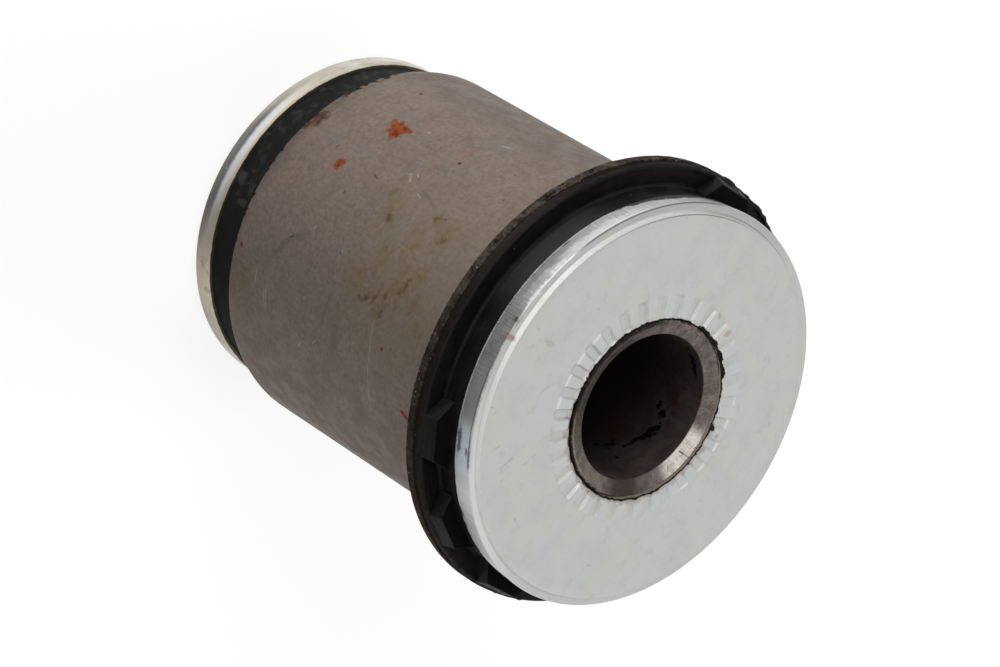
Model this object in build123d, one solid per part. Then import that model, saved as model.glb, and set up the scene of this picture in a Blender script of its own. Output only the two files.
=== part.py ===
from build123d import *
import os
from math import radians, tan

# Suspension-arm bush: a rubber body bonded between an inner tube and an outer sleeve, with a
# washer pressed on each end of the tube. Millimetres and degrees. The axis is Z, and the origin
# is at the centre of the rear washer's outer face, so the bush stands on that washer.

# Inner tube. Its front end stands a little proud of the front washer.
tube_bore_radius = 9.1
tube_wall = 1.95
tube_end_dish = 0.6
tube_edge_break = 0.15
tube_front_stand = 0.35

# Outer sleeve, with its front end turned out into a thin collar
sleeve_radius = 23.0
sleeve_wall = 2.0
sleeve_length = 43.15
sleeve_lead_length = 1.2
sleeve_lead_depth = 0.35
collar_radius = 27.7
collar_thickness = 1.2
collar_root_chamfer = 0.5

# Rubber flange over the collar, and the rubber wall from it up to the front washer. The land
# is the open part of the flange, from its edge in to the wall.
flange_thickness = 1.3
flange_edge_inset = 0.16
flange_edge_chamfer = 0.3
flange_dip = 0.25
flange_land_width = 2.79
front_wall_height = 3.2
front_wall_root_chamfer = 0.35

# Rubber neck between the sleeve's rear end and the rear washer
neck_length = 5.6
neck_inset = 0.35
neck_waist_depth = 0.35
end_lip_inset = 0.45
end_lip_thickness = 0.8

# Raised lugs on the rubber flange, in groups on opposite sides
lug_groups = 2
lugs_per_group = 3
lug_group_angle = 333.4
lug_pitch_angle = 28.0
lug_tip_width = 5.1
lug_tip_inset = 0.1
lug_tip_lean = 0.68
lug_side_slant = 31.0
lug_washer_gap = 1.25
lug_sink = 0.3

# Front washer. Its face ends in a low bead, and a steep bevel drops from the bead's crest to a
# nearly flat rim.
washer_fit = 0.03
front_washer_radius = 25.2
front_washer_thickness = 3.5
front_hole_chamfer = 0.35
front_rim_drop = 0.52
front_rim_taper = 0.2
front_back_chamfer = 0.3
bead_inset = 1.17
bead_height = 0.1
bead_slope_width = 0.25
bevel_width = 0.32
bevel_depth = 0.48

# Serrations pressed into the front washer round its hole
tooth_count = 30
tooth_first_angle = 1.8
tooth_span_angle = 6.6
tooth_height = 0.2
tooth_length = 2.55
groove_depth = 0.22

# Rear washer
rear_washer_radius = 21.5
rear_washer_thickness = 3.5
rear_rim_chamfer = 0.8
rear_hole_chamfer = 0.35

# Radii that the pieces share
tube_radius = tube_bore_radius + tube_wall
sleeve_bore_radius = sleeve_radius - sleeve_wall
washer_hole_radius = tube_radius + washer_fit
flange_radius = collar_radius - flange_edge_inset
front_wall_radius = flange_radius - flange_land_width
neck_radius = rear_washer_radius - neck_inset

# Heights along the axis, from the rear washer's outer face upwards
rear_inner_face = rear_washer_thickness
sleeve_bottom = rear_inner_face + neck_length
collar_top = sleeve_bottom + sleeve_length
collar_bottom = collar_top - collar_thickness
flange_top = collar_top + flange_thickness
flange_root = flange_top - flange_dip
front_back_face = flange_root + front_wall_height
front_face = front_back_face + front_washer_thickness
tube_front_end = front_face + tube_front_stand


def turned(section):
    """A solid of revolution about Z, from the radius and the height of each of its corners."""
    corners = [(radius, 0, height) for radius, height in section]
    return revolve(make_face(Polyline(*corners, close=True)), Axis.Z)


def upright_block(near, near_width, far, far_width, bottom, top):
    """A block on the +X side of the axis, with one width at its near face and one at its far face."""
    corners = [
        (near, -near_width / 2),
        (far, -far_width / 2),
        (far, far_width / 2),
        (near, near_width / 2),
    ]
    plan = Plane.XY.offset(bottom) * make_face(Polyline(*corners, close=True))
    return extrude(plan, top - bottom)


def radial_block(near, far, span_angle, bottom, top):
    """An upright block whose sides lie along radii."""
    slope = 2 * tan(radians(span_angle / 2))
    return upright_block(near, near * slope, far, far * slope, bottom, top)


def make_inner_tube():
    """The tube for the bolt. Each end is dished, from a broken outer edge down to the bore."""
    lower_end = [
        (tube_bore_radius, tube_end_dish),
        (tube_radius - tube_edge_break, 0),
        (tube_radius, tube_edge_break),
    ]
    upper_end = [(radius, tube_front_end - height) for radius, height in reversed(lower_end)]
    return turned(lower_end + upper_end)


def make_outer_sleeve():
    """The sleeve that is pressed into the arm, tapered at its rear end to lead it in."""
    section = [
        (sleeve_bore_radius, sleeve_bottom),
        (sleeve_radius - sleeve_lead_depth, sleeve_bottom),
        (sleeve_radius, sleeve_bottom + sleeve_lead_length),
        (sleeve_radius, collar_bottom - collar_root_chamfer),
        (sleeve_radius + collar_root_chamfer, collar_bottom),
        (collar_radius, collar_bottom),
        (collar_radius, collar_top),
        (sleeve_bore_radius, collar_top),
    ]
    return turned(section)


def make_lug():
    """One lug on the +X side, sunk a little into the wall and the flange that carry it. Its
    sides run on past its tip, so that the tip takes its shape from the turned section."""
    root_radius = front_wall_radius - lug_sink
    tip_radius = flange_radius - lug_tip_inset
    foot = flange_root - lug_sink
    top = front_back_face - lug_washer_gap
    section = [
        (root_radius, foot),
        (tip_radius, foot),
        (tip_radius - lug_tip_lean, top),
        (root_radius, top),
    ]
    reach = tip_radius - root_radius
    width_change = 2 * reach * tan(radians(lug_side_slant))
    near_width = lug_tip_width + width_change
    far_width = lug_tip_width - width_change
    sides = upright_block(root_radius, near_width, tip_radius + reach, far_width, foot, top)
    return turned(section) & sides


def lug_angles():
    """The angle of each lug about the axis: its group's angle, and its place within the group."""
    half_group = (lugs_per_group - 1) / 2
    for group in range(lug_groups):
        group_angle = lug_group_angle + group * 360 / lug_groups
        for place in range(lugs_per_group):
            yield group_angle + (place - half_group) * lug_pitch_angle


def make_rubber_body():
    """The moulding: neck, core inside the sleeve, flange over the collar, and front wall."""
    end_lip_radius = sleeve_radius - sleeve_lead_depth - end_lip_inset
    end_lip_bottom = sleeve_bottom - end_lip_thickness
    waist_radius = neck_radius - neck_waist_depth
    waist_height = (rear_inner_face + end_lip_bottom) / 2
    section = [
        (tube_radius, rear_inner_face),
        (neck_radius, rear_inner_face),
        (waist_radius, waist_height),
        (waist_radius, end_lip_bottom),
        (end_lip_radius, end_lip_bottom),
        (end_lip_radius, sleeve_bottom),
        (sleeve_bore_radius, sleeve_bottom),
        (sleeve_bore_radius, collar_top),
        (flange_radius, collar_top),
        (flange_radius, flange_top - flange_edge_chamfer),
        (flange_radius - flange_edge_chamfer, flange_top),
        (front_wall_radius + front_wall_root_chamfer, flange_root),
        (front_wall_radius, flange_root + front_wall_root_chamfer),
        (front_wall_radius, front_back_face),
        (tube_radius, front_back_face),
    ]
    body = turned(section)
    lug = make_lug()
    for angle in lug_angles():
        body += Rot(0, 0, angle) * lug
    return body


def make_front_washer():
    """The large washer: a bead and a bevel round its face, and serrations round its hole."""
    back_radius = front_washer_radius - front_rim_taper
    bead_radius = front_washer_radius - bead_inset
    section = [
        (washer_hole_radius, front_back_face),
        (back_radius - front_back_chamfer, front_back_face),
        (back_radius, front_back_face + front_back_chamfer),
        (front_washer_radius, front_face - front_rim_drop),
        (bead_radius + bevel_width, front_face - bevel_depth),
        (bead_radius, front_face + bead_height),
        (bead_radius - bead_slope_width, front_face),
        (washer_hole_radius + front_hole_chamfer, front_face),
        (washer_hole_radius, front_face - front_hole_chamfer),
    ]
    washer = turned(section)
    ring_inner = washer_hole_radius + front_hole_chamfer
    ring_outer = ring_inner + tooth_length
    floor = front_face - groove_depth
    crest = front_face + tooth_height
    pitch_angle = 360 / tooth_count
    tooth = radial_block(ring_inner, ring_outer, tooth_span_angle, floor, crest)
    groove = radial_block(tube_radius, ring_outer, pitch_angle - tooth_span_angle, floor, crest)
    teeth = Part()
    grooves = Part()
    for index in range(tooth_count):
        angle = tooth_first_angle + index * pitch_angle
        teeth += Rot(0, 0, angle) * tooth
        grooves += Rot(0, 0, angle + pitch_angle / 2) * groove
    return washer - grooves + teeth


def make_rear_washer():
    """The small washer, with the rim of its outer face broken."""
    section = [
        (washer_hole_radius + rear_hole_chamfer, 0),
        (rear_washer_radius - rear_rim_chamfer, 0),
        (rear_washer_radius, rear_rim_chamfer),
        (rear_washer_radius, rear_inner_face),
        (washer_hole_radius, rear_inner_face),
        (washer_hole_radius, rear_hole_chamfer),
    ]
    return turned(section)


pieces = {
    "inner_tube": make_inner_tube(),
    "outer_sleeve": make_outer_sleeve(),
    "rubber_body": make_rubber_body(),
    "front_washer": make_front_washer(),
    "rear_washer": make_rear_washer(),
}

os.makedirs("parts", exist_ok=True)
for name, shape in pieces.items():
    export_step(shape, f"parts/{name}.step")
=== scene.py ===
import math
import bmesh
import bpy
from mathutils import Matrix, Vector, noise


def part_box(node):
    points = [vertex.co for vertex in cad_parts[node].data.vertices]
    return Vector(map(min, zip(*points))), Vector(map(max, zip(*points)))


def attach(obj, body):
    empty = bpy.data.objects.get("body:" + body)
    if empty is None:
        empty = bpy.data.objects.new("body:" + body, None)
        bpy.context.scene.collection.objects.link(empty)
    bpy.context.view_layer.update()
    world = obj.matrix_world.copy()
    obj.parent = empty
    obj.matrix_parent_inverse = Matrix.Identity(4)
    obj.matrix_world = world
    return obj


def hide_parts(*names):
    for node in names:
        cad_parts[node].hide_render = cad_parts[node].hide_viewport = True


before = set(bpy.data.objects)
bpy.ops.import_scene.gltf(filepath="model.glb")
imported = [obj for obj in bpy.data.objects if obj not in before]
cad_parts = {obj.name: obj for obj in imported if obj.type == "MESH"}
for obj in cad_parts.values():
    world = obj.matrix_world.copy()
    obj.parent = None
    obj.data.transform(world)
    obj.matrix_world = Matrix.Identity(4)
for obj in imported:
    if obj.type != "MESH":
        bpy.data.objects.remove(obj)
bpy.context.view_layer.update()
bpy.ops.object.select_all(action="DESELECT")
print("frame loaded")

mm = 0.001
closeBy = 0.004    # how near, in mm, a point has to be to count as on a ring


# The places of the five solids, in mm, that the finer pieces are built on

def nodeSpan(node):    # the radius, the lowest and the highest height of a solid
    low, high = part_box(node)
    return high.x / mm, low.z / mm, high.z / mm


frontRadius, frontBack, toothTop = nodeSpan("front_washer")
rearRadius, rearFace, rearInner = nodeSpan("rear_washer")
collarRadius, sleeveBottom, collarTop = nodeSpan("outer_sleeve")
tubeRadius, tubeBottom, tubeTop = nodeSpan("inner_tube")
flangeRadius, neckBottom, wallTop = nodeSpan("rubber_body")


# Modelling helpers

def pickPiece(piece):
    bpy.ops.object.select_all(action="DESELECT")
    piece.select_set(True)
    bpy.context.view_layer.objects.active = piece


def pickPoints(piece, wanted):    # in edit mode, selects the points whose place is wanted
    shape = bmesh.from_edit_mesh(piece.data)
    for vert in shape.verts:
        vert.select = wanted(vert.co)
    shape.select_flush(True)
    bmesh.update_edit_mesh(piece.data)


def turnPiece(name, columns, corners, turnedBy=0):
    # a circle, extruded and scaled from corner to corner, and bridged into a closed ring. Each
    # corner is a radius, a height and, if it is more than one, the number of steps up to it.
    radius, height = corners[0]
    steps = []
    for cornerRadius, cornerHeight, *more in corners[1:]:
        count = more[0] if more else 1
        steps += [(radius + (cornerRadius - radius) * i / count,
                   height + (cornerHeight - height) * i / count) for i in range(1, count + 1)]
        radius, height = cornerRadius, cornerHeight
    radius, height = corners[0]
    bpy.ops.object.select_all(action="DESELECT")
    bpy.ops.mesh.primitive_circle_add(
        vertices=columns, radius=radius * mm, location=(0, 0, height * mm),
        rotation=(0, 0, math.radians(turnedBy)),
    )
    piece = bpy.context.object
    piece.name = name
    bpy.ops.object.transform_apply(location=True, rotation=True, scale=True)
    bpy.ops.object.mode_set(mode="EDIT")
    bpy.ops.mesh.select_all(action="SELECT")
    for nextRadius, nextHeight in steps:
        rise = (0, 0, (nextHeight - height) * mm)
        bpy.ops.mesh.extrude_region_move(TRANSFORM_OT_translate={"value": rise})
        growth = nextRadius / radius
        bpy.ops.transform.resize(value=(growth, growth, 1), center_override=(0, 0, 0))
        radius, height = nextRadius, nextHeight
    bpy.ops.mesh.select_all(action="DESELECT")
    bpy.ops.mesh.select_mode(type="EDGE")
    bpy.ops.mesh.select_non_manifold()    # the first ring and the last one
    bpy.ops.mesh.bridge_edge_loops()
    bpy.ops.mesh.select_all(action="SELECT")
    bpy.ops.mesh.normals_make_consistent(inside=False)
    bpy.ops.object.mode_set(mode="OBJECT")
    return piece


def roundRing(piece, ring, size, segments):    # bevels the ring of edges at a radius and a height
    bpy.ops.object.mode_set(mode="EDIT")
    bpy.ops.mesh.select_mode(type="EDGE")
    bpy.ops.mesh.select_all(action="DESELECT")
    shape = bmesh.from_edit_mesh(piece.data)
    for edge in shape.edges:
        edge.select = all(
            abs(math.hypot(v.co.x, v.co.y) / mm - ring[0]) < closeBy
            and abs(v.co.z / mm - ring[1]) < closeBy
            for v in edge.verts
        )
    bmesh.update_edit_mesh(piece.data)
    bpy.ops.mesh.bevel(offset=size * mm, segments=segments, profile=0.5, affect="EDGES")
    bpy.ops.object.mode_set(mode="OBJECT")


def pushPiece(piece, name, strength, weightAt, direction="NORMAL"):
    # moves the piece's points by strength, in mm, times what weightAt says of their place
    group = piece.vertex_groups.new(name=name)
    for vert in piece.data.vertices:
        angle = math.degrees(math.atan2(vert.co.y, vert.co.x)) % 360
        weight = weightAt(angle, math.hypot(vert.co.x, vert.co.y) / mm, vert.co.z / mm)
        if weight > 0:
            group.add([vert.index], min(weight, 1), "REPLACE")
    pickPiece(piece)
    push = piece.modifiers.new(name, "DISPLACE")
    push.vertex_group = name
    push.direction = direction
    push.mid_level = 0
    push.strength = strength * mm
    bpy.ops.object.modifier_apply(modifier=name)
    piece.vertex_groups.clear()


def fitPiece(piece, node, sharpFrom=32):    # edges sharper than that stay sharp
    pickPiece(piece)
    bpy.ops.object.shade_smooth_by_angle(angle=math.radians(sharpFrom))
    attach(piece, "root")
    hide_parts(node)
    print(node, "done,", len(piece.data.polygons), "faces")


def ramp(value, low, high):    # 0 at low, 1 at high, straight between them and held outside
    return min(max((value - low) / (high - low), 0), 1)


def window(angle, start, end, soft):    # 1 from start to end, in degrees, falling off softly
    middle = (start + end) / 2
    away = abs((angle - middle + 180) % 360 - 180)
    return 1 - ramp(away, (end - start) / 2, (end - start) / 2 + soft)


def facing(angle, side):    # 1 on that side of the axis and -1 on the other
    return math.cos(math.radians(angle - side))


def rough(angle, height, scale, seed=0):    # even noise from 0 to 1 round the bush
    reach = 1 / scale
    turn = math.radians(angle)
    return 0.5 + 0.5 * noise.noise(Vector((
        math.cos(turn) * reach, math.sin(turn) * reach, height * 0.04 * reach + seed
    )))


# Node helpers. They fill the node tree that is kept in now, with its material and its turn.

now = {}


def feed(socket, value):    # links another node's output, or sets a number or a colour
    if isinstance(value, bpy.types.NodeSocket):
        now["tree"].links.new(value, socket)
    elif isinstance(value, tuple) and len(value) == 3 and socket.type == "RGBA":
        socket.default_value = (*value, 1)
    else:
        socket.default_value = value


def addNode(kind, values={}, **settings):    # values go to the inputs, by name or place
    node = now["tree"].nodes.new("ShaderNode" + kind)
    for name, value in settings.items():
        setattr(node, name, value)
    for socket, value in values.items():
        feed(node.inputs[socket], value)
    return node


def reckon(operation, *values):
    return addNode("Math", dict(enumerate(values)), operation=operation).outputs[0]


def both(first, second):
    return reckon("MULTIPLY", first, second)


def either(*masks):
    result = masks[0]
    for mask in masks[1:]:
        result = reckon("MAXIMUM", result, mask)
    return result


def without(mask):
    return reckon("SUBTRACT", 1, mask)


def plus(value, part, amount):    # a value and an amount of another one
    return reckon("MULTIPLY_ADD", part, amount, value)


def spread(value, low, high, newLow=0, newHigh=1):    # eases from low to high
    values = {0: value, 1: low, 2: high, 3: newLow, 4: newHigh}
    return addNode("MapRange", values, interpolation_type="SMOOTHSTEP").outputs[0]


def between(value, low, high, soft):    # 1 from low to high, with soft edges
    return both(spread(value, low - soft, low + soft), spread(value, high + soft, high - soft))


def arc(low, high, soft):    # the same for the turn about the axis. It can't cross 0.
    return between(now["turn"], low, high, soft)


def towards(side):    # 1 on that side of the axis and -1 on the other
    return reckon("COSINE", reckon("RADIANS", reckon("SUBTRACT", now["turn"], side)))


def cover(under, over, mask, amount=1):    # lays a colour over another one
    share = mask if amount == 1 else both(mask, amount)
    return addNode("Mix", {0: share, 6: under, 7: over}, data_type="RGBA").outputs[2]


def layers(color, coats):    # each coat: its colour, where it lies, and how strong it is
    for over, mask, amount in coats:
        color = cover(color, over, mask, amount)
    return color


def shift(under, over, mask):    # lays a value over another one
    return addNode("Mix", {0: mask, 2: under, 3: over}).outputs[0]


def startGroup(name, takes, *gives):
    group = now["tree"] = bpy.data.node_groups.new(name, "ShaderNodeTree")
    for socket, value in takes.items():
        made = group.interface.new_socket(socket, in_out="INPUT", socket_type="NodeSocketFloat")
        made.default_value = value
    for socket in gives:
        group.interface.new_socket(socket, in_out="OUTPUT", socket_type="NodeSocketFloat")
    takes, gives = group.nodes.new("NodeGroupInput"), group.nodes.new("NodeGroupOutput")
    return group, takes.outputs, gives.inputs


def useGroup(group, **values):
    return addNode("Group", values, node_tree=group).outputs


# Shared effects. Lengths are in mm and turns in degrees.

def objectPlace():    # the place on the piece, in mm
    place = addNode("TexCoord").outputs["Object"]
    return addNode("VectorMath", {0: place, 3: 1 / mm}, operation="SCALE").outputs[0]


def seededPlace(size, seed):    # divided by a size, and moved on by a seed
    share = reckon("DIVIDE", 1, size)
    shares = addNode("VectorMath", {0: objectPlace(), 3: share}, operation="SCALE").outputs[0]
    return addNode("VectorMath", {0: shares, 1: seed}, operation="ADD").outputs[0]


def cloudy(place, detail, low, high):
    values = {"Vector": place, "Scale": 1, "Detail": detail, "Roughness": 0.6}
    return spread(addNode("TexNoise", values).outputs[0], low, high)


# where a point is on a turned piece: its turn about the axis, its distance from it, its height
partPlace, taken, given = startGroup("partPlace", {}, "turn", "reach", "height")
axes = addNode("SeparateXYZ", {0: objectPlace()}).outputs
turned = reckon("DEGREES", reckon("ARCTAN2", axes[1], axes[0]))
feed(given["turn"], reckon("WRAP", turned, 360, 0))
feed(given["reach"], reckon("SQRT", plus(both(axes[0], axes[0]), axes[1], axes[1])))
feed(given["height"], axes[2])

# even clouds of one size
mottle, taken, given = startGroup("mottle", {
    "size": 1, "detail": 2, "low": 0.35, "high": 0.65, "seed": 0
}, "value")
place = seededPlace(taken["size"], taken["seed"])
feed(given["value"], cloudy(place, taken["detail"], taken["low"], taken["high"]))

# grain that runs round the axis, along it or outwards: its size is given each way
grain, taken, given = startGroup("grain", {
    "turnSize": 10, "reachSize": 1000, "heightSize": 1000, "detail": 2, "low": 0.3,
    "high": 0.7, "seed": 0
}, "value")
axes = addNode("SeparateXYZ", {0: objectPlace()}).outputs
place = useGroup(partPlace)
circle = reckon("DIVIDE", math.degrees(1), taken["turnSize"])
around = reckon("DIVIDE", circle, place["reach"])
level = reckon("ADD", reckon("DIVIDE", place["height"], taken["heightSize"]),
               reckon("DIVIDE", place["reach"], taken["reachSize"]))
level = reckon("ADD", level, taken["seed"])
place = addNode("CombineXYZ", {0: both(axes[0], around), 1: both(axes[1], around), 2: level})
feed(given["value"], cloudy(place.outputs[0], taken["detail"], taken["low"], taken["high"]))

# scattered specks: some cells of a pattern hold one, each of its own size
specks, taken, given = startGroup("specks", {
    "spacing": 2, "size": 0.2, "amount": 0.4, "seed": 0
}, "value")
place = seededPlace(taken["spacing"], taken["seed"])
cells = addNode("TexVoronoi", {"Vector": place, "Scale": 1, "Randomness": 1}).outputs
chance = addNode("SeparateColor", {0: cells["Color"]}).outputs
speckSize = both(reckon("DIVIDE", taken["size"], taken["spacing"]),
                 spread(chance[0], 0, 1, 0.4, 1))
inside = spread(cells["Distance"], speckSize, both(speckSize, 0.6))
feed(given["value"], both(inside, reckon("LESS_THAN", chance[1], taken["amount"])))

# one mark, at a turn and a level (a height, or on a face a reach), made ragged by the fuzz
mark, taken, given = startGroup("mark", {
    "turn": 0, "level": 0, "fuzz": 0.5, "radius": 20, "atTurn": 0, "atLevel": 0,
    "wide": 1, "tall": 1, "lean": 0, "ragged": 0.5, "soft": 0.35
}, "value")
across = reckon("WRAP", reckon("SUBTRACT", taken["turn"], taken["atTurn"]), 180, -180)
across = both(reckon("RADIANS", across), taken["radius"])
along = reckon("SUBTRACT", taken["level"], taken["atLevel"])
leanSine = reckon("SINE", reckon("RADIANS", taken["lean"]))
leanCosine = reckon("COSINE", reckon("RADIANS", taken["lean"]))
sideways = reckon("SUBTRACT", both(across, leanCosine), both(along, leanSine))
upwards = reckon("ADD", both(across, leanSine), both(along, leanCosine))
sideways = reckon("DIVIDE", sideways, taken["wide"])
upwards = reckon("DIVIDE", upwards, taken["tall"])
away = reckon("SQRT", plus(both(sideways, sideways), upwards, upwards))
away = plus(away, reckon("SUBTRACT", taken["fuzz"], 0.5), taken["ragged"])
outer = plus(1, taken["soft"], 0.45)
inner = plus(1, taken["soft"], -0.55)
feed(given["value"], spread(away, outer, inner))


def someMottle(size, seed, low=0.35, high=0.65, detail=2):
    return useGroup(mottle, size=size, detail=detail, low=low, high=high, seed=seed)["value"]


def someGrain(seed, low=0.3, high=0.7, detail=2, **sizes):
    return useGroup(grain, detail=detail, low=low, high=high, seed=seed, **sizes)["value"]


def someSpecks(spacing, size, amount, seed):
    return useGroup(specks, spacing=spacing, size=size, amount=amount, seed=seed)["value"]


def allMarks(level, fuzz, radius, marks, soft=0.35):
    # each mark: its turn, its level, half its width and height in mm, its lean and its raggedness
    names = "atTurn", "atLevel", "wide", "tall", "lean", "ragged"
    return either(*[useGroup(mark, turn=now["turn"], level=level, fuzz=fuzz, radius=radius,
                             soft=soft, **dict(zip(names, values)))["value"] for values in marks])


def startFinish(name, metallic, specular):
    finish = now["finish"] = bpy.data.materials.new(name)
    finish.use_nodes = True
    shader = finish.node_tree.nodes["Principled BSDF"].inputs
    shader["Metallic"].default_value = metallic
    shader["Specular IOR Level"].default_value = specular
    now["tree"] = finish.node_tree
    place = useGroup(partPlace)
    now["turn"] = place["turn"]
    return shader, place["reach"], place["height"]


def endFinish(piece, shader, color, roughness, bumps):    # a bump: its height and depth in mm
    relief = 0.0
    for height, depth in bumps:
        relief = plus(relief, height, depth)
    bump = addNode("Bump", {"Height": relief, "Distance": mm, "Strength": 1})
    feed(shader["Base Color"], color)
    feed(shader["Roughness"], roughness)
    feed(shader["Normal"], bump.outputs[0])
    piece.data.materials.clear()
    piece.data.materials.append(now["finish"])
    print(now["finish"].name, "done")


# Inner tube

innerTube = {"bore": 9.1, "dish": 0.6, "edge": 0.15, "boreEdge": 0.12, "columns": 360}
tubeRim = tubeRadius - innerTube["edge"]
dishBottom = tubeBottom + innerTube["dish"]
dishTop = tubeTop - innerTube["dish"]
tube = turnPiece("innerTube", innerTube["columns"], [
    (innerTube["bore"], dishBottom), (tubeRim, tubeBottom, 6),
    (tubeRadius, tubeBottom + innerTube["edge"]), (tubeRadius, tubeTop - innerTube["edge"]),
    (tubeRim, tubeTop), (innerTube["bore"], dishTop, 6),
])
roundRing(tube, (innerTube["bore"], dishTop), innerTube["boreEdge"], 3)
fitPiece(tube, "inner_tube")

shader, reach, height = startFinish("turnedSteel", 0.85, 0.1)
topEnd = spread(height, dishTop - 0.2, dishTop + 0.05)
bottomEnd = spread(height, dishBottom + 0.2, dishBottom - 0.05)
inBore = both(without(either(topEnd, bottomEnd)), spread(reach, 9.4, 9.25))
fuzz = someMottle(0.7, 3.1, 0.3, 0.7, 3)
cut = someGrain(5, 0.25, 0.75, 3, turnSize=40, reachSize=0.09)
cross = someGrain(6, 0.3, 0.75, 3, turnSize=0.9, reachSize=0.5)
smut = someMottle(1.1, 8, 0.35, 0.7, 4)
# painted highlight on the tube's end from 59 to 95 degrees, and painted dark reflection from 10 to
# 38 and from 224 to 314 degrees
bright = both(arc(59, 95.5, 6), spread(cross, 0, 0.6, 0.7, 1))
paintedTubeDark = either(arc(10, 38, 9), arc(224, 314, 24))
scratch = allMarks(reach, fuzz, 10, [
    (77.5, 10.2, 0.1, 0.9, 8, 0.9), (63, 10, 0.05, 0.4, -30, 0.9)
])
# grime over the outer edge, thick on one side
lip = spread(plus(reach, fuzz, 0.25), 11, 11.15)
crackSide = arc(205, 296, 12)
paler = both(crackSide, between(reach, 10.2, 10.42, 0.1))
inner = spread(plus(reach, fuzz, 0.3), 10.58, 10.7)
crack = either(lip, both(crackSide, inner))
boreColor = layers((0.09, 0.064, 0.064), [
    ((0.155, 0.122, 0.118), someMottle(3, 11, 0.3, 0.7, 3), 1),
    ((0.045, 0.031, 0.032), someMottle(0.8, 17, 0.5, 0.75, 4), 0.6),
])
blots = allMarks(height, fuzz, innerTube["bore"], [
    (93.5, 54.7, 0.75, 0.45, 30, 1.4), (97.5, 53.9, 0.6, 0.4, 20, 1.4),
    (79.2, 55, 1.1, 0.5, -10, 1.4), (70, 54.4, 1.2, 0.35, -25, 1.5),
    (61, 54, 0.7, 0.3, -25, 1.4), (52, 52.2, 0.7, 0.5, 0, 1.4),
    (43, 54.8, 0.4, 0.3, 0, 1.2), (43.5, 50.8, 0.5, 0.4, 0, 1.2),
    (145, 58, 1.6, 0.45, 5, 1.4)
])
rusty = allMarks(height, fuzz, innerTube["bore"], [
    (106.7, 55.4, 1.2, 0.8, 30, 1.6), (64, 50.5, 1.5, 1.2, 0, 1.6)
], 1.2)
boreColor = layers((0.075, 0.05, 0.052), [
    (boreColor, spread(height, 47, 57), 1),
    ((0.004, 0.003, 0.003), blots, 0.92),
    ((0.09, 0.036, 0.026), rusty, 0.6),
])
roughness = shift(spread(smut, 0, 1, 0.34, 0.55), 0.5, inBore)
feed(shader["Metallic"], spread(crack, 0, 1, 0.85, 0))
color = layers((0.17, 0.14, 0.125), [
    ((0.31, 0.262, 0.233), cross, 1),
    ((0.11, 0.09, 0.079), smut, 0.6),
    ((0.026, 0.021, 0.019), paintedTubeDark, 0.82),
    ((1, 0.93, 0.85), bright, 0.97),
    ((0.12, 0.1, 0.09), both(cut, smut), 0.5),
    ((0.17, 0.12, 0.075), both(someMottle(0.8, 21, 0.5, 0.68, 4), arc(295, 344, 14)), 0.6),
    ((0.05, 0.042, 0.04), scratch, 0.75),
    ((0.12, 0.1, 0.09), paler, 0.7),
    ((0.006, 0.005, 0.004), crack, 0.97),
    ((0.09, 0.055, 0.04), both(crack, someMottle(0.5, 33, 0.56, 0.7, 3)), 0.5),
    ((0.42, 0.36, 0.28), both(arc(297, 342, 6), between(reach, 10.66, 10.92, 0.08)), 0.5),
    (boreColor, inBore, 1),
])
endFinish(tube, shader, color, roughness, [(cut, 0.012), (cross, 0.012), (fuzz, 0.006)])


# Outer sleeve with its collar

outerSleeve = {
    "radius": 23, "bore": 21, "leadLength": 1.2, "leadDepth": 0.35,
    "leadEdge": 0.3, "endEdge": 0.1, "collarThickness": 1.2, "collarRoot": 0.5,
    "collarEdge": 0.12, "grit": 0.13, "columns": 480,
}
sleeveRadius, sleeveBore = outerSleeve["radius"], outerSleeve["bore"]
leadRadius = sleeveRadius - outerSleeve["leadDepth"]
leadTop = sleeveBottom + outerSleeve["leadLength"]
collarBottom = collarTop - outerSleeve["collarThickness"]
collarRoot = outerSleeve["collarRoot"]
sleeve = turnPiece("outerSleeve", outerSleeve["columns"], [
    (sleeveBore, sleeveBottom), (leadRadius, sleeveBottom), (sleeveRadius, leadTop),
    (sleeveRadius, collarBottom - collarRoot, 14), (sleeveRadius + collarRoot, collarBottom),
    (collarRadius, collarBottom, 4), (collarRadius, collarTop, 4), (sleeveBore, collarTop, 4),
])
roundRing(sleeve, (leadRadius, sleeveBottom), outerSleeve["endEdge"], 2)
roundRing(sleeve, (sleeveRadius, leadTop), outerSleeve["leadEdge"], 2)
roundRing(sleeve, (collarRadius, collarBottom), outerSleeve["collarEdge"], 3)


def gritWeight(angle, reach, height):    # crumbs of dirt on the collar's edge
    if reach < collarRadius - 0.01:
        return 0
    return ramp(rough(angle, height * 30, 0.016, 2), 0.52, 0.8) * window(angle, 205, 300, 30)


pushPiece(sleeve, "grit", outerSleeve["grit"], gritWeight)
fitPiece(sleeve, "outer_sleeve")

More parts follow.
